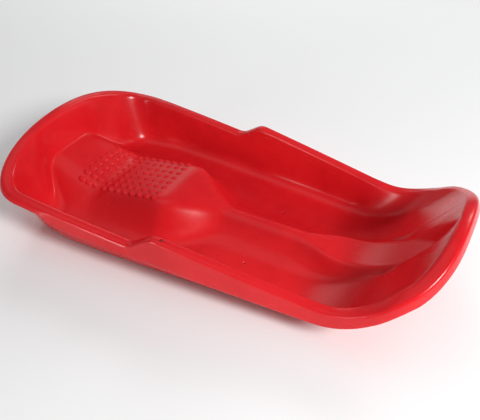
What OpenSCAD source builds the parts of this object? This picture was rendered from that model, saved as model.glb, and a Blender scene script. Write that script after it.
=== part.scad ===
// One-piece moulded snow sled, drawn as the named regions of its single shell.
// +X is the nose, +Y the rider's left. Heights are measured from the inside of the foot wells.

/* [Overall] */
// Length over the rim's crease, tail to nose
rim_length = 812; // [720:1:980]
// Width over the rim's crease beside the seat
rear_width = 422; // [380:1:510]
// Width over the rim's crease where the nose begins
front_width = 354; // [320:1:420]
// Thickness of the moulding
wall = 3; // [2:0.5:4]

/* [Rim] */
// Width of the flat flange around the top
flange = 18; // [14:1:24]
// How far the skirt leans out below the crease
skirt_flare = 6; // [2:1:10]
// How far the side walls lean out between the floor and the flange
wall_lean = 22; // [16:1:30]
// Crease height at the middle of the tail
tail_height = 141; // [120:1:170]
// Crease height at the tail corners
corner_height = 92; // [80:1:105]
// Crease height just behind the step
waist_height = 74; // [66:1:85]
// Rise of the rim at the step
step_rise = 30; // [15:1:40]
// Crease height where the nose begins
shoulder_height = 66; // [60:1:80]
// Crease height at the tip of the nose
nose_height = 176; // [150:1:210]
// Depth of the lip around the tail
lip_depth = 11; // [8:1:16]
// Depth of the skirt beside the seat
rear_skirt_depth = 20; // [14:1:28]
// Depth of the skirt in front of the step
step_skirt_depth = 52; // [40:1:60]
// Depth of the skirt at the nose
nose_skirt_depth = 20; // [14:1:30]

/* [Lengthwise places] */
// Tail to the rear edge of the seat
seat_setback = 144; // [125:1:165]
// Length of the seat's flat top
seat_length = 147; // [120:1:180]
// Length of the pommel in front of the seat
pommel_length = 120; // [90:1:145]
// Tail to the low end of the rim's step
step_setback = 324; // [300:1:350]
// Length of the rim's step
step_run = 43; // [30:1:60]
// Length of the rounded tail, measured on the crease
tail_round = 106; // [90:1:120]
// Length of the rounded nose, measured on the crease
nose_round = 166; // [140:1:180]
// Tip of the nose back to where the floor starts to rise
rise_length = 241; // [225:1:260]
// Tip of the nose back to the foot of its wall
nose_wall_run = 106; // [90:1:118]

/* [Seat and ridge] */
// Height of the seat at its rear edge
seat_back_height = 36; // [28:1:44]
// Height of the seat at its front edge
seat_front_height = 62; // [50:1:66]
// Height of the top of the backrest
backrest_height = 67; // [58:1:76]
// Half width of the seat's top
seat_half = 68; // [55:1:82]
// Sideways run of the seat's flanks
flank_run = 40; // [30:1:45]
// Height of the ridge between the foot wells
ridge_height = 37; // [24:1:44]
// Half width of the ridge's top
ridge_half = 12; // [8:1:16]
// Half width of the tongue where the ridge fans out
tongue_half = 34; // [26:1:40]
// Sideways run of the tongue's flanks
tongue_run = 18; // [14:1:24]
// Height of the foot wells' floor at the foot of the nose wall
ramp_height = 46; // [35:1:56]
// Height where the tongue's point meets the nose wall
tongue_tip_height = 113; // [95:1:125]

/* [Holes] */
// Diameter of the leash hole in the right flange
leash_hole_d = 6.5; // [5:0.5:8]
// Low end of the step forward to the leash hole
leash_hole_ahead = 59; // [50:1:90]
// Diameter of the drain holes in the foot wells
drain_hole_d = 4; // [3:0.5:6]
// Tail to the drain holes
drain_setback = 475; // [460:1:500]
// Sideways distance from the centre line to each drain hole
drain_offset = 81; // [76:1:90]

/* [Hidden] */
tail_x = -rim_length / 2;
nose_x = rim_length / 2;
tail_centre_x = tail_x + tail_round;
nose_centre_x = nose_x - nose_round;
seat_rear_x = tail_x + seat_setback;
seat_front_x = seat_rear_x + seat_length;
ridge_x = seat_front_x + pommel_length;
step_low_x = tail_x + step_setback;
step_high_x = step_low_x + step_run;
rise_x = nose_x - rise_length;
ramp_x = nose_x - nose_wall_run;
// the ridge fans out into the tongue between these two places
fan_x = rise_x - 35;
fan_wide_x = rise_x + 60;
// the backrest's top and the tongue's point both stand this far in from the rim's crease
end_inset = 39;
backrest_x = tail_x + end_inset;
tongue_tip_x = nose_x - end_inset;
// the nose is highest at its middle and falls to its shoulders
nose_drop = 54;
shoulder_top = nose_height - nose_drop;
shoulder_y = 0.86 * front_width / 2;
tongue_edge = tongue_half + tongue_run;
// the leash hole sits just outside the middle of the flange
leash_inset_share = 0.55;
// the sides run parallel behind this place, then draw in towards the nose
taper_x = tail_centre_x + 40;
taper_power = 1.5;
// curves of the rim up to the nose, of the foot wells' ramps and of the tongue
rim_rise_power = 1.8;
ramp_power = 2;
tongue_power = 1.74;
// where the lip ends, the skirt deepens over a short run, then thins a little towards the step
lip_end_x = tail_centre_x + 45;
skirt_start_x = lip_end_x + 18;
skirt_thinning = (corner_height - waist_height) / 3;
// the front skirt thins up to this place, part way round the nose
skirt_thin_x = nose_centre_x + 80;

// a ring is [inset, tail centre x, tail length, nose centre x, nose length, roundness]
function offset_ring(inset) =
    [inset, tail_centre_x, tail_round - inset, nose_centre_x, nose_round - inset, 3];
crease_ring = offset_ring(0);
inner_ring = offset_ring(flange);
skirt_ring = offset_ring(-skirt_flare);
foot_tail_run = 86;
foot_nose_x = rise_x + 35;
foot_ring = [flange + wall_lean, seat_rear_x, seat_rear_x - tail_x - foot_tail_run,
             foot_nose_x, ramp_x - foot_nose_x, 5];
// rounded foot of the walls: its share of the wall's height, and of its lean at the ends and the sides
foot_height_share = 0.22;
end_foot_share = 0.25;
side_foot_share = 0.68;

function clamp01(t) = min(1, max(0, t));
function mix(a, b, t) = a + (b - a) * t;
function ramp(x, x0, x1) = clamp01((x - x0) / (x1 - x0));
function smooth(x, x0, x1) = let(t = ramp(x, x0, x1)) t * t * (3 - 2 * t);
function round_off(t, n) = pow(max(0, 1 - pow(clamp01(t), n)), 1 / n);
function corner_share(n) = pow(0.5, 1 / n);

// half width of a ring at x, and its x at the tail and the nose for a given y
function half_width(x) =
    mix(rear_width, front_width, pow(ramp(x, taper_x, nose_centre_x), taper_power)) / 2;
function ring_y(x, ring) =
    (half_width(x) - ring[0]) * round_off((ring[1] - x) / ring[2], ring[5])
    * round_off((x - ring[3]) / ring[4], ring[5]);
function tail_half(ring) = rear_width / 2 - ring[0];
function nose_half(ring) = half_width(ring[3]) - ring[0];
function tail_ring_x(y, ring) = ring[1] - ring[2] * round_off(abs(y) / tail_half(ring), ring[5]);
function nose_ring_x(y, ring) = ring[3] + ring[4] * round_off(abs(y) / nose_half(ring), ring[5]);

// stations along each side: [0, share of the tail corner], [1, x], [2, share of the nose corner]
between = 2;
station_marks = concat(
    [[0, 1], [0, 0.6], [1, tail_centre_x]],
    [for (x = [seat_rear_x + 49, seat_rear_x + 98, seat_front_x, step_low_x, step_high_x,
               ridge_x, mix(ridge_x, fan_x, 0.5), fan_x, rise_x]) [1, x]],
    [[1, nose_centre_x], [2, 0.35], [2, 0.65], [2, 0.85], [2, 1]]);
function split_marks(m) = [for (k = [0 : len(m) - 2], s = [0 : between - 1])
    let(a = m[k], b = m[k + 1], za = a[0] == 1 && b[0] != 1 ? b[0] : a[0],
        va = za == a[0] ? a[1] : 0, vb = b[0] == za ? b[1] : 0,
        zone = a[0] == 0 && b[0] == 1 ? 0 : za, t = s / between)
    s == 0 ? a : [zone, mix(va, vb, t)]];
stations = concat(split_marks(station_marks), [station_marks[len(station_marks) - 1]]);
last_row = len(stations) - 1;
function row_of(mark) = mark * between;
row_seat_rear = row_of(2);
row_seat_front = row_of(5);
row_step = row_of(6);
row_ridge = row_of(8);
row_fan = row_of(10);
row_rise = row_of(11);
row_nose = row_of(12);

function station_x(s, ring) =
    s[0] == 0 ? ring[1] - s[1] * corner_share(ring[5]) * ring[2]
    : s[0] == 2 ? ring[3] + s[1] * corner_share(ring[5]) * ring[4]
    : lookup(s[1], [[tail_centre_x, ring[1]], [seat_rear_x + 49, seat_rear_x + 49],
                    [rise_x, rise_x], [nose_centre_x, ring[3]]]);

// heights of the rim's crease and the depth of the skirt below it
function shoulder_x() = nose_ring_x(shoulder_y, crease_ring);
function side_crease_z(x) =
    x < step_low_x ? mix(corner_height, waist_height, ramp(x, tail_centre_x, step_low_x))
    : x < step_high_x ? waist_height + step_rise * ramp(x, step_low_x, step_high_x)
    : mix(waist_height + step_rise, shoulder_height, ramp(x, step_high_x, nose_centre_x))
      + (shoulder_top - shoulder_height) * pow(ramp(x, nose_centre_x, shoulder_x()), rim_rise_power);
function crease_z(x, y) =
    x < tail_centre_x
        ? corner_height + (tail_height - corner_height) * (1 - pow(2 * y / rear_width, 2))
    : x > nose_centre_x && abs(y) < shoulder_y
        ? nose_height - nose_drop * pow(y / shoulder_y, 2)
    : side_crease_z(x);
function skirt_depth(x) =
    x < lip_end_x ? lip_depth
    : x < step_low_x ? mix(lip_depth, rear_skirt_depth + skirt_thinning, ramp(x, lip_end_x, skirt_start_x))
                       - skirt_thinning * ramp(x, skirt_start_x, step_low_x)
    : x < step_high_x ? mix(rear_skirt_depth, step_skirt_depth, ramp(x, step_low_x, step_high_x))
    : mix(step_skirt_depth, nose_skirt_depth, ramp(x, step_high_x, skirt_thin_x));

// the floor: foot wells, with the seat, the ridge and the tongue standing on them
function well_z(x) = ramp_height * pow(ramp(x, rise_x, ramp_x), ramp_power);
function top_z(x) =
    x < seat_rear_x ? mix(seat_back_height, backrest_height, (seat_rear_x - x) / (seat_rear_x - backrest_x))
    : x < seat_front_x ? mix(seat_back_height, seat_front_height, ramp(x, seat_rear_x, seat_front_x))
    : x < fan_wide_x ? mix(seat_front_height, ridge_height, smooth(x, seat_front_x, ridge_x))
    : mix(ridge_height, tongue_tip_height, pow(ramp(x, fan_wide_x, tongue_tip_x), tongue_power));
function top_half(x) =
    x < ridge_x ? mix(seat_half, ridge_half, smooth(x, seat_front_x, ridge_x))
    : mix(ridge_half, tongue_half, smooth(x, fan_x, fan_wide_x));
function flank(x) =
    x < ridge_x ? flank_run
    : mix(flank_run - 6, tongue_run, smooth(x, fan_x, fan_wide_x));

// columns across the floor, from the right wall's foot to the left wall's foot
well_share = 0.18;
function half_columns(foot, edge, top) =
    [foot, mix(foot, edge, well_share), mix(edge, foot, well_share), edge, top, top / 2];
function column_list(foot, edge, top) =
    let(h = half_columns(foot, edge, top))
    concat([for (k = [0 : 5]) -h[k]], [0], [for (k = [5 : -1 : 0]) h[k]]);
last_column = 12;
edge_column = 3;
top_column = 4;
function row_x(i) = station_x(stations[i], foot_ring);
function row_columns(i) = let(x = row_x(i))
    column_list(ring_y(x, foot_ring), top_half(x) + flank(x), top_half(x));
function tail_floor(y) = let(lift = ramp(-abs(y), -seat_half - flank_run, -seat_half))
    [mix(tail_ring_x(y, foot_ring), backrest_x, lift), y, backrest_height * lift + wall];
function nose_floor(y) = let(lift = ramp(-abs(y), -tongue_edge, 0), z = ramp_height)
    [mix(nose_ring_x(y, foot_ring), tongue_tip_x, lift), y, mix(z, tongue_tip_height, lift) + wall];
function inner_floor(i, k) = let(x = row_x(i), y = row_columns(i)[k],
    lift = ramp(-abs(y), -top_half(x) - flank(x), -top_half(x)))
    [x, y, mix(well_z(x), top_z(x), lift) + wall];
function floor_point(i, k) =
    i == 0 ? tail_floor(row_columns(0)[k])
    : i == last_row ? nose_floor(row_columns(last_row)[k]) : inner_floor(i, k);

// the crease beside each floor edge point: down the right side, across the tail and the nose
function side_at(i, ring) = let(x = station_x(stations[i], ring)) [x, -ring_y(x, ring)];
function share(i, k) = row_columns(i)[k] / row_columns(i)[last_column];
function tail_at(k, ring) =
    let(y = share(0, k) * corner_share(ring[5]) * tail_half(ring)) [tail_ring_x(y, ring), y];
function nose_at(k, ring) =
    let(y = share(last_row, k) * corner_share(ring[5]) * nose_half(ring)) [nose_ring_x(y, ring), y];
function edge_at(edge, n, ring) =
    edge == "side" ? side_at(n, ring) : edge == "tail" ? tail_at(n, ring) : nose_at(n, ring);
function edge_foot(edge, n) =
    edge == "side" ? floor_point(n, 0)
    : edge == "tail" ? floor_point(0, n) : floor_point(last_row, n);
function edge_heading(edge, n) =
    let(c = edge_at(edge, n, crease_ring), f = edge_foot(edge, n), d = c - [f[0], f[1]]) d / norm(d);
// the side walls stand up from a rounded foot, the tail and nose walls slope evenly
function foot_share(edge, n) =
    edge == "side" ? mix(end_foot_share, side_foot_share, smooth(min(n, last_row - n), 0, 5))
    : end_foot_share;

// levels up the wall: 0 foot, 1 top of the rounded foot, 2 inner edge, 3 crease, 4 skirt's hem
function wall_point(edge, n, level) =
    let(c = edge_at(edge, n, crease_ring), z = crease_z(c[0], c[1]) + wall,
        i = edge_at(edge, n, inner_ring), k = edge_at(edge, n, skirt_ring), f = edge_foot(edge, n))
    level == 0 ? f
    : level == 1 ? [mix(f[0], i[0], foot_share(edge, n)), mix(f[1], i[1], foot_share(edge, n)),
                    mix(f[2], z, foot_height_share)]
    : level == 2 ? [i[0], i[1], z]
    : level == 3 ? [c[0], c[1], z]
    : [k[0], k[1], z - skirt_depth(c[0])];
// outward and downward shares of the wall thickness that reach the back of each level
back_shares = [[0.8, 1], [1, 0.6], [1, 1], [-1, 1], [-1, 0]];
function wall_back(edge, n, level) =
    let(p = wall_point(edge, n, level), h = edge_heading(edge, n), s = back_shares[level] * wall)
    [p[0] + h[0] * s[0], p[1] + h[1] * s[0], p[2] - s[1]];

function floor_back(i, k) =
    i == 0 ? wall_back("tail", k, 0)
    : i == last_row ? wall_back("nose", k, 0)
    : k == 0 ? wall_back("side", i, 0)
    : k == last_column ? let(b = wall_back("side", i, 0)) [b[0], -b[1], b[2]]
    : let(n = cross(floor_point(i + 1, k) - floor_point(i - 1, k),
                    floor_point(i, k + 1) - floor_point(i, k - 1)))
      floor_point(i, k) - n / norm(n) * wall;

// a closed shell patch between a grid of front points and a grid of back points
module shell(front, back, flip = false) {
    rows = len(front);
    columns = len(front[0]);
    n = rows * columns;
    points = concat([for (r = front, p = r) p], [for (r = back, p = r) p]);
    faces = concat(
        [for (r = [0 : rows - 2], c = [0 : columns - 2], t = [0 : 3])
            let(a = r * columns + c, b = a + 1, d = a + columns, e = d + 1)
            [[a, b, e], [a, e, d], [a + n, e + n, b + n], [a + n, d + n, e + n]][t]],
        [for (c = [0 : columns - 2], t = [0 : 3])
            let(a = c, b = a + 1, p = a + (rows - 1) * columns, q = p + 1)
            [[a, a + n, b + n], [a, b + n, b], [p, q + n, p + n], [p, q, q + n]][t]],
        [for (r = [0 : rows - 2], t = [0 : 3])
            let(a = r * columns, d = a + columns, p = a + columns - 1, q = p + columns)
            [[a, d, d + n], [a, d + n, a + n], [p, q + n, q], [p, p + n, q + n]][t]]);
    polyhedron(points, flip ? [for (f = faces) [f[0], f[2], f[1]]] : faces);
}
// part of the floor, between two rows and two columns
module floor_patch(i0, i1, k0, k1) {
    shell([for (i = [i0 : i1]) [for (k = [k0 : k1]) floor_point(i, k)]],
          [for (i = [i0 : i1]) [for (k = [k0 : k1]) floor_back(i, k)]]);
}
// part of the right wall, between two rows and two levels
module side_patch(i0, i1, low, high) {
    shell([for (i = [i0 : i1]) [for (v = [high : -1 : low]) wall_point("side", i, v)]],
          [for (i = [i0 : i1]) [for (v = [high : -1 : low]) wall_back("side", i, v)]]);
}
// part of the tail or nose wall, between two columns and two levels
module end_patch(edge, k0, k1, low, high) {
    shell([for (v = [high : -1 : low]) [for (k = [k0 : k1]) wall_point(edge, k, v)]],
          [for (v = [high : -1 : low]) [for (k = [k0 : k1]) wall_back(edge, k, v)]],
          edge == "nose");
}
// a region of the left half is the right one mirrored
module sided(side) {
    if (side == "left") mirror([0, 1, 0]) children(); else children();
}
module bore(x, y, z, d) {
    translate([x, y, z - 4 * wall]) cylinder(h = 8 * wall, d = d, $fn = 48);
}

module backrest() { color("firebrick") floor_patch(0, row_seat_rear, 4, 8); }
module seat() { color("crimson") floor_patch(row_seat_rear, row_seat_front, 4, 8); }
module pommel() { color("firebrick") floor_patch(row_seat_front, row_ridge, 4, 8); }
module centre_ridge() { color("crimson") floor_patch(row_ridge, row_fan, 4, 8); }
module nose_tongue() { color("firebrick") floor_patch(row_fan, last_row, 4, 8); }
module backrest_flank(side) {
    color("brown") sided(side) floor_patch(0, row_seat_rear, 3, 4);
}
module seat_flank(side) {
    color("indianred") sided(side) floor_patch(row_seat_rear, row_ridge, 3, 4);
}
module ridge_flank(side) { color("brown") sided(side) floor_patch(row_ridge, row_fan, 3, 4); }
module tongue_flank(side) { color("indianred") sided(side) floor_patch(row_fan, last_row, 3, 4); }
module heel_well(side) { color("red") sided(side) floor_patch(0, row_seat_front, 0, 3); }
module foot_well(side) {
    drain_x = tail_x + drain_setback;
    color("orangered") sided(side) difference() {
        floor_patch(row_seat_front, row_rise, 0, 3);
        bore(drain_x, -drain_offset, 0, drain_hole_d);
    }
}
module front_ramp(side) { color("red") sided(side) floor_patch(row_rise, last_row, 0, 3); }
module tail_wall() { color("tomato") end_patch("tail", 3, 9, 0, 2); }
module tail_corner(side) { color("salmon") sided(side) end_patch("tail", 0, 3, 0, 2); }
module rear_wall(side) { color("tomato") sided(side) side_patch(0, row_step, 0, 2); }
module front_wall(side) { color("salmon") sided(side) side_patch(row_step, row_nose, 0, 2); }
module nose_cheek(side) { color("tomato") sided(side) side_patch(row_nose, last_row, 0, 2); }
module nose_corner(side) { color("salmon") sided(side) end_patch("nose", 0, 3, 0, 2); }
module nose_wall() { color("tomato") end_patch("nose", 3, 9, 0, 2); }
module tail_rim() { color("darkred") end_patch("tail", 0, last_column, 2, 4); }
module rear_rim(side) { color("firebrick") sided(side) side_patch(0, row_step, 2, 4); }
module front_rim(side) {
    leash_x = step_low_x + leash_hole_ahead;
    leash_y = half_width(leash_x) - flange * leash_inset_share;
    color("darkred") sided(side) difference() {
        side_patch(row_step, row_nose, 2, 4);
        if (side == "right") bore(leash_x, -leash_y, side_crease_z(leash_x), leash_hole_d);
    }
}
module nose_rim_side(side) { color("firebrick") sided(side) side_patch(row_nose, last_row, 2, 4); }
module nose_rim() { color("darkred") end_patch("nose", 0, last_column, 2, 4); }

backrest();
seat();
pommel();
centre_ridge();
nose_tongue();
backrest_flank("left");  // backrest_flank_left
backrest_flank("right");  // backrest_flank_right
seat_flank("left");  // seat_flank_left
seat_flank("right");  // seat_flank_right
ridge_flank("left");  // ridge_flank_left
ridge_flank("right");  // ridge_flank_right
tongue_flank("left");  // tongue_flank_left
tongue_flank("right");  // tongue_flank_right
heel_well("left");  // heel_well_left
heel_well("right");  // heel_well_right
foot_well("left");  // foot_well_left
foot_well("right");  // foot_well_right
front_ramp("left");  // front_ramp_left
front_ramp("right");  // front_ramp_right
tail_wall();
tail_corner("left");  // tail_corner_left
tail_corner("right");  // tail_corner_right
rear_wall("left");  // rear_wall_left
rear_wall("right");  // rear_wall_right
front_wall("left");  // front_wall_left
front_wall("right");  // front_wall_right
nose_cheek("left");  // nose_cheek_left
nose_cheek("right");  // nose_cheek_right
nose_corner("left");  // nose_corner_left
nose_corner("right");  // nose_corner_right
nose_wall();
tail_rim();
rear_rim("left");  // rear_rim_left
rear_rim("right");  // rear_rim_right
front_rim("left");  // front_rim_left
front_rim("right");  // front_rim_right
nose_rim_side("left");  // nose_rim_left
nose_rim_side("right");  // nose_rim_right
nose_rim();
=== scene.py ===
import math

import bmesh
import bpy
from mathutils import Matrix, Vector


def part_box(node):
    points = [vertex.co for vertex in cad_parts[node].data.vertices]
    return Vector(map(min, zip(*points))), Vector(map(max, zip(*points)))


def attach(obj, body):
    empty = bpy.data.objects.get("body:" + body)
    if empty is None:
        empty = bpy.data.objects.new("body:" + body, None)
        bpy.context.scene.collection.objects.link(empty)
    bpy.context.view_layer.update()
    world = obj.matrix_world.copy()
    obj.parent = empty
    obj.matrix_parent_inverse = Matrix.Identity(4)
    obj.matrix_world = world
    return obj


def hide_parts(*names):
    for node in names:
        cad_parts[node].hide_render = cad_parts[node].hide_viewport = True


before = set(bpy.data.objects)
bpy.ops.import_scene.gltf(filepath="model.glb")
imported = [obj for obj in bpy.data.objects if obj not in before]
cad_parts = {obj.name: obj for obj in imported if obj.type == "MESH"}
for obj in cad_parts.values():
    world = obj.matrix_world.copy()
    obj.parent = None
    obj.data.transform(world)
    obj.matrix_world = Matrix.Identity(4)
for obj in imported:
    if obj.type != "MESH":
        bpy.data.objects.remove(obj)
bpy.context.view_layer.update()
scene = bpy.context.scene
print("frame loaded, regions of the shell:", len(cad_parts))


def clamp01(t):
    return min(1.0, max(0.0, t))


def mix(a, b, t):
    return a + (b - a) * t


def ramp(x, start, end):
    return clamp01((x - start) / (end - start))


def smooth(x, start, end):
    t = ramp(x, start, end)
    return t * t * (3 - 2 * t)


def hinge(d, radius):  # 0 before the corner, d after it, a parabola between
    if abs(d) < radius:
        return (d + radius) ** 2 / (4 * radius)
    return max(0.0, d)


def bend(x, start, end, radius, endRadius=None):  # a straight ramp from 0 to 1 with both corners rounded
    return (hinge(x - start, radius) - hinge(x - end, endRadius or radius)) / (end - start)


def roundOff(t, n):  # 1 falling to 0 along a rounded end
    return max(0.0, 1 - clamp01(t) ** n) ** (1 / n)


def curve(a, corner, b, t):  # a rounded corner between two straight runs
    return a * (1 - t) ** 2 + corner * (2 * t * (1 - t)) + b * t * t


def toward(a, b, distance):
    return a + (b - a).normalized() * distance


view = {
    "azimuth": math.radians(28.5),
    "elevation": math.radians(39.0),
    "place": Vector((0.430, -0.760, 0.747)),
    "lens": 45.4,
    "sensor": 36,
}


def makeCamera():
    data = bpy.data.cameras.new("camera")
    data.lens = view["lens"]
    data.sensor_width = view["sensor"]
    data.sensor_fit = "HORIZONTAL"
    camera = bpy.data.objects.new("camera", data)
    scene.collection.objects.link(camera)
    level = math.cos(view["elevation"])
    back = Vector((math.sin(view["azimuth"]) * level, -math.cos(view["azimuth"]) * level,
                   math.sin(view["elevation"])))
    turn = back.to_track_quat("Z", "Y").to_matrix().to_4x4()
    camera.matrix_world = Matrix.Translation(view["place"]) @ turn
    scene.camera = camera


makeCamera()
print("camera placed")

# where the regions begin and end, read from the CAD
places = {
    "tail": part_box("tail_rim")[0].x,
    "backrest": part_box("backrest")[0].x,
    "seatRear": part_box("seat")[0].x,
    "seatFront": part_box("seat")[1].x,
    "stepLow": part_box("front_rim_left")[0].x,
    "ridge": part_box("pommel")[1].x,
    "fan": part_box("centre_ridge")[1].x,
    "rise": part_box("foot_well_left")[1].x,
    "noseCentre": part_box("front_rim_left")[1].x,
    "tongueTip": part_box("nose_tongue")[1].x,
    "nose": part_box("nose_rim")[1].x,
}

# the one moulded shell
shell = {
    "thickness": 0.003,
    "flange": 0.018,
    "skirtFlare": 0.006,
    "wallLean": 0.032,
    # the rim seen from above
    "rearWidth": 0.422,
    "frontWidth": 0.354,
    "widthStart": 0.040,
    "widthPower": 1.5,
    "taperFolds": (0.06, 0.10),
    "tailRound": 0.106,
    "tailStraight": 0.049,
    "ringPower": 3,
    "footPower": 5,
    # the foot of the tail and nose walls
    "tailFootRun": 0.093,
    "noseWallRun": 0.116,
    "footNoseRun": 0.035,
    # the rim's heights
    "tailHeight": 0.141,
    "cornerHeight": 0.092,
    "waistHeight": 0.074,
    "stepRise": 0.030,
    "stepRun": 0.043,
    "shoulderHeight": 0.066,
    "shoulderShare": 0.86,
    "shoulderBlend": 0.030,
    "noseHeight": 0.176,
    "noseDrop": 0.054,
    "climbPower": 1.8,
    # the skirt's depths
    "lipDepth": 0.011,
    "lipEnd": -0.255,
    "skirtRamp": 0.018,
    "rearSkirt": 0.020,
    "skirtSag": 0.006,
    "stepSkirt": 0.052,
    "noseSkirt": 0.020,
    "noseSkirtRun": 0.080,
    # the backrest, seat, ridge and tongue
    "backrestHeight": 0.067,
    "seatBackHeight": 0.036,
    "seatFrontHeight": 0.062,
    "seatHalf": 0.068,
    "flankRun": 0.040,
    "pommelStart": 0.004,
    "pommelEnd": 0.006,
    "pommelShare": 0.45,
    "ridgeHeight": 0.037,
    "ridgeHalf": 0.012,
    "ridgeThinning": 0.006,
    "fanLength": 0.060,
    "tongueHalf": 0.034,
    "tongueRun": 0.018,
    "tongueTipHeight": 0.113,
    "tonguePower": 1.74,
    # the front ramps
    "rampHeight": 0.046,
    "rampPower": 2,
    # how far each corner in the rim and the skirt is rounded
    "tailCornerFold": 0.020,
    "waistFold": 0.010,
    "stepFold": 0.009,
    "shoulderFold": 0.040,
    "lipFold": 0.004,
    "sagFold": 0.010,
    "noseSkirtFold": 0.012,
    # and each one in the floor
    "backrestFold": 0.034,
    "seatFold": 0.011,
    "pommelFold": 0.020,
    "ridgeFold": 0.011,
    "tongueFold": 0.005,
    "footFold": 0.027,
    "tongueFootFold": 0.010,
    "notchFold": 0.009,
    "foldStart": 0.010,
    "foldEnd": 0.030,
    "seatCreaseRadius": 0.016,
    "pommelCreaseRadius": 0.020,
    # and the walls' feet and edges
    "sideFillet": 0.0245,
    "endFillet": 0.020,
    "middleFillet": 0.006,
    "filletLimit": 0.7,
    "innerEdgeRadius": 0.0055,
    "creaseRadius": 0.0055,
}
tailX = places["tail"] + shell["skirtFlare"]
noseX = places["nose"] - shell["skirtFlare"]
tailCentre = tailX + shell["tailRound"]
noseCentre = places["noseCentre"]
stepHigh = places["stepLow"] + shell["stepRun"]
rampEnd = noseX - shell["noseWallRun"]
fanWide = places["rise"] + shell["fanLength"]
pommelX = mix(places["seatFront"], places["ridge"], shell["pommelShare"])
straightStart = places["seatRear"] + shell["tailStraight"]
widthStart = tailCentre + shell["widthStart"]
shoulderY = shell["shoulderShare"] * shell["frontWidth"] / 2


def offsetRing(inset):  # inset, tail centre, tail length, nose centre, nose length, roundness
    return (inset, tailCentre, shell["tailRound"] - inset,
            noseCentre, noseX - noseCentre - inset, shell["ringPower"])


creaseRing = offsetRing(0)
innerRing = offsetRing(shell["flange"])
hemRing = offsetRing(-shell["skirtFlare"])
footNoseX = places["rise"] + shell["footNoseRun"]
footRing = (shell["flange"] + shell["wallLean"], places["seatRear"],
            places["seatRear"] - tailX - shell["tailFootRun"],
            footNoseX, rampEnd - footNoseX, shell["footPower"])


def cornerShare(ring):
    return 0.5 ** (1 / ring[5])


def halfWidth(x):
    t = (x - widthStart) / (noseCentre - widthStart)
    startFold, endFold = shell["taperFolds"]
    eased = max(0.0, hinge(t, startFold) - hinge(t - 1, endFold))
    return mix(shell["rearWidth"], shell["frontWidth"], eased ** shell["widthPower"]) / 2


def ringY(x, ring):
    rounding = roundOff((ring[1] - x) / ring[2], ring[5]) * roundOff((x - ring[3]) / ring[4], ring[5])
    return (halfWidth(x) - ring[0]) * rounding


def tailRingPoint(share, ring):
    half = shell["rearWidth"] / 2 - ring[0]
    across = share * cornerShare(ring)
    return ring[1] - ring[2] * roundOff(abs(across), ring[5]), across * half


def noseRingPoint(share, ring):
    half = halfWidth(ring[3]) - ring[0]
    across = share * cornerShare(ring)
    return ring[3] + ring[4] * roundOff(abs(across), ring[5]), across * half


def stationX(row, ring):
    zone, value = row
    if zone == "tail":
        return ring[1] - value * cornerShare(ring) * ring[2]
    if zone == "nose":
        return ring[3] + value * cornerShare(ring) * ring[4]
    if value < straightStart:
        return mix(ring[1], straightStart, ramp(value, tailCentre, straightStart))
    if value > places["rise"]:
        return mix(places["rise"], ring[3], ramp(value, places["rise"], noseCentre))
    return value


def splitRows():  # stations along the sled, closer together where the shape turns
    marks = [("tail", 1, 5), ("tail", 0.6, 5), ("side", tailCentre, 6),
             ("side", straightStart, 5), ("side", straightStart + shell["tailStraight"], 5),
             ("side", places["seatFront"], 5), ("side", places["stepLow"], 7), ("side", stepHigh, 6),
             ("side", places["ridge"], 7), ("side", mix(places["ridge"], places["fan"], 0.5), 7),
             ("side", places["fan"], 5), ("side", places["rise"], 8), ("side", noseCentre, 5),
             ("nose", 0.35, 5), ("nose", 0.65, 5), ("nose", 0.85, 5), ("nose", 1, 0)]
    rows = []
    for (zone, value, steps), (nextZone, nextValue, _) in zip(marks, marks[1:]):
        within = zone if zone == nextZone or nextZone == "side" else nextZone
        start = value if zone == within else 0
        end = nextValue if nextZone == within else 0
        rows += [(within, mix(start, end, s / steps)) if s else (zone, value) for s in range(steps)]
    return rows + [marks[-1][:2]]


rows = splitRows()
columnSteps = (7, 8, 6)  # half of the top, one flank, one foot well
halfColumns = sum(columnSteps)
crowding = 0.45


def grade(t):  # crowds points towards both ends of a run
    return t - crowding * math.sin(2 * math.pi * t) / (2 * math.pi)


def columnPlaces(x):  # distances from the centre line out to a wall's foot
    top = topHalf(x)
    ends = (0, top, top + flankRun(x), ringY(x, footRing))
    found = [0.0]
    for a, b, steps in zip(ends, ends[1:], columnSteps):
        found += [mix(a, b, grade(s / steps)) for s in range(1, steps + 1)]
    return found


def shoulderX():
    return creaseRing[3] + creaseRing[4] * roundOff(shoulderY / halfWidth(noseCentre), shell["ringPower"])


def sideCreaseZ(x):
    fall = (shell["waistHeight"] - shell["cornerHeight"]) / (places["stepLow"] - tailCentre)
    frontDrop = shell["shoulderHeight"] - shell["waistHeight"] - shell["stepRise"]
    frontFall = frontDrop / (noseCentre - stepHigh)
    climb = shell["noseHeight"] - shell["noseDrop"] - shell["shoulderHeight"]
    along = max(0.0, (x - noseCentre) / (shoulderX() - noseCentre))
    tailTurn = hinge(x - tailCentre, shell["tailCornerFold"])
    waistTurn = hinge(x - places["stepLow"], shell["waistFold"])
    frontTurn = hinge(x - stepHigh, shell["waistFold"])
    shoulderTurn = hinge(x - noseCentre, shell["shoulderFold"])
    return (shell["cornerHeight"] + fall * (tailTurn - waistTurn)
            + shell["stepRise"] * bend(x, places["stepLow"], stepHigh, shell["stepFold"])
            + frontFall * (frontTurn - shoulderTurn)
            + climb * along ** shell["climbPower"])


def creaseZ(x, y):
    if x < tailCentre:
        crown = shell["tailHeight"] - shell["cornerHeight"]
        return shell["cornerHeight"] + crown * (1 - (2 * y / shell["rearWidth"]) ** 2)
    noseZ = shell["noseHeight"] - shell["noseDrop"] * (y / shoulderY) ** 2
    near = smooth(x, shoulderX() - shell["shoulderBlend"], shoulderX() + shell["shoulderBlend"])
    return mix(sideCreaseZ(x), noseZ, near)


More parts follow.
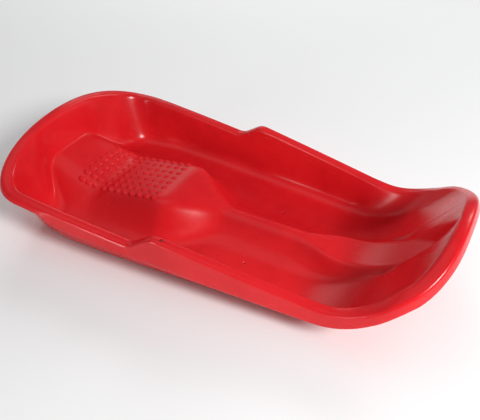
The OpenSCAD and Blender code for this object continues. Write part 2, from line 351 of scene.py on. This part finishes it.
def skirtDepth(x):
    lipEnd, rearStart = shell["lipEnd"], shell["lipEnd"] + shell["skirtRamp"]
    rearDrop = shell["rearSkirt"] + shell["skirtSag"] - shell["lipDepth"]
    stepDrop = shell["stepSkirt"] - shell["rearSkirt"]
    noseDrop = shell["noseSkirt"] - shell["stepSkirt"]
    noseEnd = noseCentre + shell["noseSkirtRun"]
    return (shell["lipDepth"] + rearDrop * bend(x, lipEnd, rearStart, shell["lipFold"])
            - shell["skirtSag"] * bend(x, rearStart, places["stepLow"], shell["sagFold"])
            + stepDrop * bend(x, places["stepLow"], stepHigh, shell["stepFold"])
            + noseDrop * bend(x, stepHigh, noseEnd, shell["noseSkirtFold"]))


def wellZ(x):
    return shell["rampHeight"] * ramp(x, places["rise"], rampEnd) ** shell["rampPower"]


def topZ(x):
    seatRear, seatFront = places["seatRear"], places["seatFront"]
    backSlope = (shell["backrestHeight"] - shell["seatBackHeight"]) / (seatRear - places["backrest"])
    seatLength = seatFront - seatRear
    seatSlope = (shell["seatFrontHeight"] - shell["seatBackHeight"]) / seatLength
    pommelDrop = shell["seatFrontHeight"] - shell["ridgeHeight"]
    tongueRise = shell["tongueTipHeight"] - shell["ridgeHeight"]
    seatTurn = hinge(x - seatRear, shell["seatCreaseRadius"])
    pommelTurn = hinge(x - seatFront, shell["pommelCreaseRadius"])
    return (shell["seatBackHeight"] + backSlope * hinge(seatRear - x, shell["seatCreaseRadius"])
            + seatSlope * (seatTurn - pommelTurn)
            - pommelDrop * smooth(x, seatFront - shell["pommelStart"], places["ridge"] + shell["pommelEnd"])
            + tongueRise * ramp(x, fanWide, places["tongueTip"]) ** shell["tonguePower"])


def topHalf(x):
    return (mix(shell["seatHalf"], shell["ridgeHalf"], smooth(x, places["seatFront"], places["ridge"]))
            + (shell["tongueHalf"] - shell["ridgeHalf"]) * smooth(x, places["fan"], fanWide))


def flankRun(x):
    ridgeRun = shell["flankRun"] - shell["ridgeThinning"]
    return (mix(shell["flankRun"], ridgeRun, smooth(x, places["seatFront"], places["ridge"]))
            + (shell["tongueRun"] - ridgeRun) * smooth(x, places["fan"], fanWide))


def topFold(x):  # how softly the raised part's top turns down into its flanks
    onSeat = smooth(x, places["seatRear"] - shell["foldStart"], places["seatRear"] + shell["foldEnd"])
    onPommel = smooth(x, places["seatFront"] - shell["foldStart"], pommelX)
    onRidge = smooth(x, pommelX, places["ridge"] + shell["foldEnd"])
    return (mix(shell["backrestFold"], shell["seatFold"], onSeat)
            + (shell["pommelFold"] - shell["seatFold"]) * onPommel
            + (shell["ridgeFold"] - shell["pommelFold"]) * onRidge
            + (shell["tongueFold"] - shell["ridgeFold"]) * smooth(x, places["fan"], fanWide))


def floorLift(x, y):  # 0 in the wells, 1 on the seat, the ridge and the tongue
    top = topHalf(x)
    edge = top + flankRun(x)
    foot = mix(shell["footFold"], shell["tongueFootFold"], smooth(x, places["fan"], fanWide))
    return bend(-abs(y), -edge, -top, foot, topFold(x))


def floorHeight(x, y):
    return mix(wellZ(x), topZ(x), floorLift(x, y)) + shell["thickness"]


def floorSlope(x, y):  # how fast the floor climbs lengthwise
    step = 0.002
    if x < rampEnd - step:
        well = (wellZ(x + step) - wellZ(x - step)) / 2
    else:
        well = wellZ(rampEnd) - wellZ(rampEnd - step)
    top = topZ(x) - topZ(x - step)
    return mix(well, top, floorLift(x, y)) / step


def tailNotch(y, share):  # the tail wall's foot steps back behind the seat
    x = tailRingPoint(share, footRing)[0]
    lift = bend(-abs(y), -shell["seatHalf"] - shell["flankRun"], -shell["seatHalf"], shell["notchFold"])
    return mix(x, places["backrest"], lift)


def nosePoint(y, share):  # and the nose wall's foot runs forward to the tongue's point
    x = noseRingPoint(share, footRing)[0]
    lift = ramp(-abs(y), -shell["tongueHalf"] - shell["tongueRun"], 0)
    return mix(x, places["tongueTip"], lift)


def floorPoint(i, k):
    x = stationX(rows[i], footRing)
    across = columnPlaces(x)
    y = math.copysign(across[abs(k)], k)
    zone, value = rows[i]
    share = y / across[-1]
    if zone == "tail":
        x += value * (tailNotch(y, share) - tailRingPoint(1, footRing)[0])
    if zone == "nose":
        x += value * (nosePoint(y, share) - noseRingPoint(1, footRing)[0])
    return Vector((x, y, floorHeight(x, y)))


def besideEdge(i, k, ring):  # the ring's point beside a point on the floor's edge
    if i == 0 or i == len(rows) - 1:
        x = stationX(rows[i], footRing)
        across = columnPlaces(x)
        share = math.copysign(across[abs(k)], k) / across[-1]
        return tailRingPoint(share, ring) if i == 0 else noseRingPoint(share, ring)
    x = stationX(rows[i], ring)
    return x, math.copysign(ringY(x, ring), k)


def sideShare(i, k):  # 1 along the side walls, falling to 0 where the tail and nose walls begin
    if abs(k) < halfColumns:
        return 0.0
    zone, value = rows[i]
    if zone == "side":
        ahead = ramp(value, tailCentre, straightStart)
        behind = ramp(-value, -noseCentre, -places["rise"])
        return smooth(0.5 + 0.5 * min(ahead, behind), 0, 1)
    return smooth(0.5 - 0.5 * value, 0, 1)


def wallLevels(i, k, foot):  # up the wall, over the flange and down the skirt
    crease = besideEdge(i, k, creaseRing)
    inner = besideEdge(i, k, innerRing)
    hem = besideEdge(i, k, hemRing)
    z = creaseZ(*crease) + shell["thickness"]
    crease = Vector((*crease, z))
    inner = Vector((*inner, z))
    hem = Vector((*hem, z - skirtDepth(crease.x)))
    inWell = smooth(abs(k), columnSteps[0], columnSteps[0] + columnSteps[1])
    fillet = mix(mix(shell["middleFillet"], shell["endFillet"], inWell), shell["sideFillet"], sideShare(i, k))
    outward = Vector((inner.x - foot.x, inner.y - foot.y, 0))
    level = Vector((inner.x, inner.y, foot.z + max(0.0, floorSlope(foot.x, foot.y) * outward.x)))
    base = toward(foot, level, min(fillet, shell["filletLimit"] * (level - foot).length))
    filletEnd = toward(base, inner, fillet)
    innerStart = toward(inner, base, shell["innerEdgeRadius"])
    innerEnd = toward(inner, crease, shell["innerEdgeRadius"])
    creaseStart = toward(crease, inner, shell["creaseRadius"])
    creaseEnd = toward(crease, hem, shell["creaseRadius"])
    return ([curve(foot, base, filletEnd, t) for t in (0.25, 0.5, 0.75, 1)]
            + [mix(filletEnd, innerStart, t) for t in (1 / 3, 2 / 3, 1)]
            + [curve(innerStart, inner, innerEnd, t) for t in (1 / 3, 2 / 3, 1)]
            + [mix(innerEnd, creaseStart, t) for t in (0.5, 1)]
            + [curve(creaseStart, crease, creaseEnd, t) for t in (1 / 3, 2 / 3, 1)]
            + [mix(creaseEnd, hem, t) for t in (1 / 3, 2 / 3, 1)])


def linkPiece(mesh, name, material):
    data = bpy.data.meshes.new(name)
    mesh.to_mesh(data)
    mesh.free()
    piece = bpy.data.objects.new(name, data)
    scene.collection.objects.link(piece)
    data.materials.append(material)
    for face in data.polygons:
        face.use_smooth = True
    return piece


def makeShell(material):
    mesh = bmesh.new()
    bmesh.ops.create_grid(mesh, x_segments=len(rows) - 1, y_segments=2 * halfColumns, size=1)
    place = mesh.verts.layers.float_vector.new("place")
    for vert in mesh.verts:
        i = round((vert.co.x + 1) / 2 * (len(rows) - 1))
        k = round(vert.co.y * halfColumns)
        vert[place] = (i, k, 0)
        vert.co = floorPoint(i, k)
    edge = [e for e in mesh.edges if e.is_boundary]
    levels = {}
    for vert in {v for e in edge for v in e.verts}:
        i, k = round(vert[place][0]), round(vert[place][1])
        levels[i, k] = wallLevels(i, k, vert.co.copy())
    for level in range(len(levels[0, halfColumns])):
        grown = bmesh.ops.extrude_edge_only(mesh, edges=edge)["geom"]
        edge = [e for e in grown if isinstance(e, bmesh.types.BMEdge) and e.is_boundary]
        for vert in {v for e in edge for v in e.verts}:
            vert.co = levels[round(vert[place][0]), round(vert[place][1])][level]
    bmesh.ops.recalc_face_normals(mesh, faces=mesh.faces)
    middle = min(mesh.faces, key=lambda f: f.calc_center_median().xy.length)
    if middle.normal.z < 0:
        bmesh.ops.reverse_faces(mesh, faces=mesh.faces)
    mesh.verts.layers.float_vector.remove(place)
    hull = linkPiece(mesh, "sled_shell", material)
    wall = hull.modifiers.new("wall", "SOLIDIFY")
    wall.thickness = shell["thickness"]
    wall.offset = -1
    wall.use_even_offset = True
    soften = hull.modifiers.new("soften", "SUBSURF")
    soften.levels = soften.render_levels = 1
    return hull


holes = {
    "segments": 32,
    "reach": 0.03,
    "leash": {"radius": 0.00325, "x": places["stepLow"] + 0.059, "inset": 0.0099},
    "drain": {"radius": 0.002, "x": tailX + 0.475, "y": 0.081},
}


def drill(hull):
    mesh = bmesh.new()
    leash, drain = holes["leash"], holes["drain"]
    leashY = halfWidth(leash["x"]) - leash["inset"]
    spots = [(leash["x"], -leashY, sideCreaseZ(leash["x"]), leash["radius"]),
             (drain["x"], -drain["y"], 0, drain["radius"]), (drain["x"], drain["y"], 0, drain["radius"])]
    for x, y, z, radius in spots:
        bmesh.ops.create_cone(mesh, cap_ends=True, segments=holes["segments"], radius1=radius, radius2=radius,
                              depth=holes["reach"], matrix=Matrix.Translation((x, y, z)))
    drills = linkPiece(mesh, "drills", hull.data.materials[0])
    cut = hull.modifiers.new("cut", "BOOLEAN")
    cut.operation = "DIFFERENCE"
    cut.object = drills
    cut.solver = "EXACT"
    graph = bpy.context.evaluated_depsgraph_get()
    finished = bpy.data.meshes.new_from_object(hull.evaluated_get(graph))
    hull.modifiers.clear()
    hull.data = finished
    bpy.data.objects.remove(drills)


# grip studs on the seat and the foot of the backrest
studs = {
    "radius": 0.0058,
    "height": 0.0026,
    # from the top down, in shares of the radius and the height
    "outline": ((0, 1), (0.30, 0.95), (0.58, 0.74), (0.82, 0.36), (1, 0.05), (1.12, -0.05)),
    "pitchX": 0.0172,
    "pitchY": 0.0172,
    "rowsAcross": 8,
    "onSeat": 8,
    "onBackrest": 3,
    "firstX": 0.010,
    "backFirst": 0.011,
    "backPitch": 0.0150,
    "backStretch": 1.35,
    "segments": 10,
    "sink": 0.0008,
}


def studShape():  # a low bell, closed underneath
    mesh = bmesh.new()
    outline = [(out * studs["radius"], up * studs["height"]) for out, up in studs["outline"]]
    outline += [(outline[-1][0], -studs["sink"]), (0, -studs["sink"])]
    verts = [mesh.verts.new((x, 0, z)) for x, z in outline]
    edges = [mesh.edges.new(pair) for pair in zip(verts, verts[1:])]
    bmesh.ops.spin(mesh, geom=verts + edges, cent=(0, 0, 0), axis=(0, 0, 1), angle=2 * math.pi,
                   steps=studs["segments"], use_merge=True)
    bmesh.ops.remove_doubles(mesh, verts=mesh.verts, dist=1e-5)
    bmesh.ops.recalc_face_normals(mesh, faces=mesh.faces)
    return mesh


def onSlope(x, y):  # stands a small shape on the floor, along its normal
    reach = 0.002
    along = Vector((2 * reach, 0, floorHeight(x + reach, y) - floorHeight(x - reach, y))).normalized()
    across = Vector((0, 2 * reach, floorHeight(x, y + reach) - floorHeight(x, y - reach))).normalized()
    up = along.cross(across).normalized()
    across = up.cross(along)
    turn = Matrix((along, across, up)).transposed().to_4x4()
    return Matrix.Translation((x, y, floorHeight(x, y))) @ turn


def makeStuds(material):
    one = studShape()
    data = bpy.data.meshes.new("stud")
    one.to_mesh(data)
    one.free()
    mesh = bmesh.new()
    seatRear = places["seatRear"]
    columns = [(seatRear + studs["firstX"] + n * studs["pitchX"], 1) for n in range(studs["onSeat"])]
    columns += [(seatRear - studs["backFirst"] - n * studs["backPitch"], studs["backStretch"])
                for n in range(studs["onBackrest"])]
    for x, stretch in columns:
        for n in range(studs["rowsAcross"]):
            y = (n - (studs["rowsAcross"] - 1) / 2) * studs["pitchY"]
            count = len(mesh.verts)
            mesh.from_mesh(data)
            mesh.verts.ensure_lookup_table()
            place = onSlope(x, y) @ Matrix.Diagonal((stretch, 1, 1, 1))
            bmesh.ops.transform(mesh, verts=mesh.verts[count:], matrix=place)
    bpy.data.meshes.remove(data)
    return linkPiece(mesh, "grip_studs", material)


# the small nub where the moulding gate was
gate = {
    "x": places["ridge"] + 0.002,
    "radius": 0.0024,
    "topShare": 0.7,
    "height": 0.0011,
    "sunk": 0.002,
    "edgeRadius": 0.0005,
}


def makeGateMark(material):
    mesh = bmesh.new()
    middle = Matrix.Translation((0, 0, (gate["height"] - gate["sunk"]) / 2))
    bmesh.ops.create_cone(mesh, cap_ends=True, segments=16, radius1=gate["radius"],
                          radius2=gate["radius"] * gate["topShare"], depth=gate["height"] + gate["sunk"],
                          matrix=middle)
    rim = [e for e in mesh.edges if all(v.co.z > 0 for v in e.verts)]
    bmesh.ops.bevel(mesh, geom=rim, offset=gate["edgeRadius"], segments=3, profile=0.5,
                    affect="EDGES", material=-1)
    bmesh.ops.transform(mesh, verts=mesh.verts, matrix=onSlope(gate["x"], 0))
    return linkPiece(mesh, "gate_mark", material)


class Field:  # one number that changes over a surface
    def __init__(self, nodes, socket):
        self.nodes = nodes
        self.socket = socket

    def mathWith(self, operation, other, flip=False):
        pair = (other, self) if flip else (self, other)
        return self.nodes.add("ShaderNodeMath", {"operation": operation}, {0: pair[0], 1: pair[1]})

    def __add__(self, other):
        return self.mathWith("ADD", other)

    def __sub__(self, other):
        return self.mathWith("SUBTRACT", other)

    def __rsub__(self, other):
        return self.mathWith("SUBTRACT", other, flip=True)

    def __mul__(self, other):
        return self.mathWith("MULTIPLY", other)

    def larger(self, other):
        return self.mathWith("MAXIMUM", other)

    __radd__ = __add__
    __rmul__ = __mul__


class Nodes:
    def __init__(self, material):
        self.tree = material.node_tree
        self.shader = self.tree.nodes["Principled BSDF"]

    def add(self, kind, settings=None, values=None, output=0):
        node = self.tree.nodes.new(kind)
        for name, value in (settings or {}).items():
            setattr(node, name, value)
        for name, value in (values or {}).items():
            self.put(node.inputs[name], value)
        return Field(self, node.outputs[output])

    def put(self, socket, value):
        if isinstance(value, Field):
            self.tree.links.new(value.socket, socket)
        else:
            socket.default_value = value

    def noise(self, place, scale, detail, roughness=0.5):
        return self.add("ShaderNodeTexNoise", {}, {"Vector": place, "Scale": scale, "Detail": detail,
                                                   "Roughness": roughness})

    def fade(self, value, low, high):
        return self.add("ShaderNodeMapRange", {"interpolation_type": "SMOOTHSTEP"},
                        {"Value": value, "From Min": low, "From Max": high, "To Min": 0.0, "To Max": 1.0})

    def blend(self, factor, first, second):
        return self.add("ShaderNodeMix", {"data_type": "RGBA"}, {0: factor, 6: first, 7: second}, output=2)


plastic = {
    "deep": (0.62, 0.008, 0.013, 1),
    "live": (0.72, 0.013, 0.018, 1),
    "scuffed": (0.78, 0.13, 0.12, 1),
    "roughness": 0.24,
    "ior": 1.43,
    "flowScale": 7.0,
    "cloudScale": 38.0,
    "peelScale": 420.0,
    "dentScale": 26.0,
    "wearScale": 90.0,
    "scratchScales": (240.0, 300.0),
    "scratchShade": 0.03,
    "wearShade": 0.75,
    "undersides": (0.0008, 0.0022),
    "bumpStrength": 0.10,
    "bumpDistance": 0.0006,
}


def makePlastic(name):
    material = bpy.data.materials.new(name)
    material.use_nodes = True
    nodes = Nodes(material)
    shader = nodes.shader
    place = nodes.add("ShaderNodeTexCoord", {}, {}, output="Object")
    height = nodes.add("ShaderNodeSeparateXYZ", {}, {0: place}, output=2)
    runScale, crossScale = plastic["scratchScales"]
    long = nodes.add("ShaderNodeMapping", {}, {"Vector": place, "Scale": (0.06, 1, 1)})
    slant = nodes.add("ShaderNodeMapping", {},
                      {"Vector": place, "Rotation": (0, 0, 0.5), "Scale": (1, 0.05, 1)})
    flow = nodes.noise(place, plastic["flowScale"], 2.0)
    cloud = nodes.noise(place, plastic["cloudScale"], 4.0, 0.6)
    peel = nodes.noise(place, plastic["peelScale"], 2.0)
    dents = nodes.noise(place, plastic["dentScale"], 1.0)
    runLines = nodes.fade(nodes.noise(long, runScale, 2.0, 0.6), 0.60, 0.74)
    crossLines = nodes.fade(nodes.noise(slant, crossScale, 2.0, 0.6), 0.66, 0.76)
    patches = nodes.fade(nodes.noise(place, 9.0, 2.0), 0.50, 0.68)
    lines = runLines.larger(crossLines) * patches
    running = 1 - nodes.fade(height, *plastic["undersides"])  # what slides on the snow
    worn = nodes.fade(nodes.noise(long, plastic["wearScale"], 4.0, 0.7), 0.50, 0.72) * running
    tone = flow * 0.7 + cloud * 0.3
    body = nodes.blend(nodes.fade(tone, 0.34, 0.66), plastic["deep"], plastic["live"])
    scuff = (worn * plastic["wearShade"]).larger(lines * plastic["scratchShade"])
    nodes.put(shader.inputs["Base Color"], nodes.blend(scuff, body, plastic["scuffed"]))
    gloss = plastic["roughness"] + (cloud - 0.5) * 0.10 + lines * 0.12 + worn * 0.30
    nodes.put(shader.inputs["Roughness"], gloss)
    relief = peel * 0.25 + dents - lines * 0.10 - worn * 0.5
    bump = nodes.add("ShaderNodeBump", {}, {"Height": relief, "Strength": plastic["bumpStrength"],
                                            "Distance": plastic["bumpDistance"]})
    nodes.put(shader.inputs["Normal"], bump)
    shader.inputs["IOR"].default_value = plastic["ior"]
    return material


redPlastic = makePlastic("red_plastic")
print("plastic made")
hull = makeShell(redPlastic)
drill(hull)
print("shell moulded and drilled, faces:", len(hull.data.polygons))
gripStuds = makeStuds(redPlastic)
gateMark = makeGateMark(redPlastic)
print("studs and gate mark set")

for piece in (hull, gripStuds, gateMark):
    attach(piece, "root")
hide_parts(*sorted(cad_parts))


studio = {
    "floor": (0.93, 0.93, 0.93, 1),
    "floorRoughness": 0.9,
    "floorHalf": 6,
    "world": (0.95, 0.97, 1.0, 1),
    "worldStrength": 0.16,
    "lights": {
        "key": {"at": (1.85, -0.70, 1.45), "size": 0.6, "power": 52, "mirrored": True},
        "overhead": {"at": (-0.75, -0.10, 2.30), "size": 1.8, "power": 4, "mirrored": True},
        "rear": {"at": (0.90, 2.00, 1.50), "size": 0.7, "power": 8, "mirrored": True},
        "front": {"at": (-0.95, -2.30, 0.42), "size": 0.5, "power": 11, "mirrored": True},
        "window": {"at": (-1.70, 2.05, 1.35), "size": 0.9, "power": 2, "mirrored": True},
        "side": {"at": (-2.80, 0.60, 0.90), "size": 1.6, "power": 3, "mirrored": True},
        "backdrop": {"at": (-1.50, 2.70, 1.30), "size": 1.5, "power": 44, "mirrored": False},
    },
}


def makeFloor():
    mesh = bmesh.new()
    bmesh.ops.create_grid(mesh, x_segments=8, y_segments=8, size=studio["floorHalf"])
    material = bpy.data.materials.new("studio_floor")
    material.use_nodes = True
    shader = Nodes(material).shader
    shader.inputs["Base Color"].default_value = studio["floor"]
    shader.inputs["Roughness"].default_value = studio["floorRoughness"]
    linkPiece(mesh, "studio_floor", material)


def makeLights():
    for name, light in studio["lights"].items():
        data = bpy.data.lights.new(name, "AREA")
        data.size = light["size"]
        data.energy = light["power"]
        lamp = bpy.data.objects.new(name, data)
        scene.collection.objects.link(lamp)
        lamp.visible_glossy = light["mirrored"]
        at = Vector(light["at"])
        lamp.matrix_world = Matrix.Translation(at) @ at.to_track_quat("Z", "Y").to_matrix().to_4x4()
    world = bpy.data.worlds.new("studio")
    world.use_nodes = True
    sky = world.node_tree.nodes["Background"]
    sky.inputs["Color"].default_value = studio["world"]
    sky.inputs["Strength"].default_value = studio["worldStrength"]
    scene.world = world
    scene.view_settings.view_transform = "Standard"


makeFloor()
makeLights()
print("studio lit")
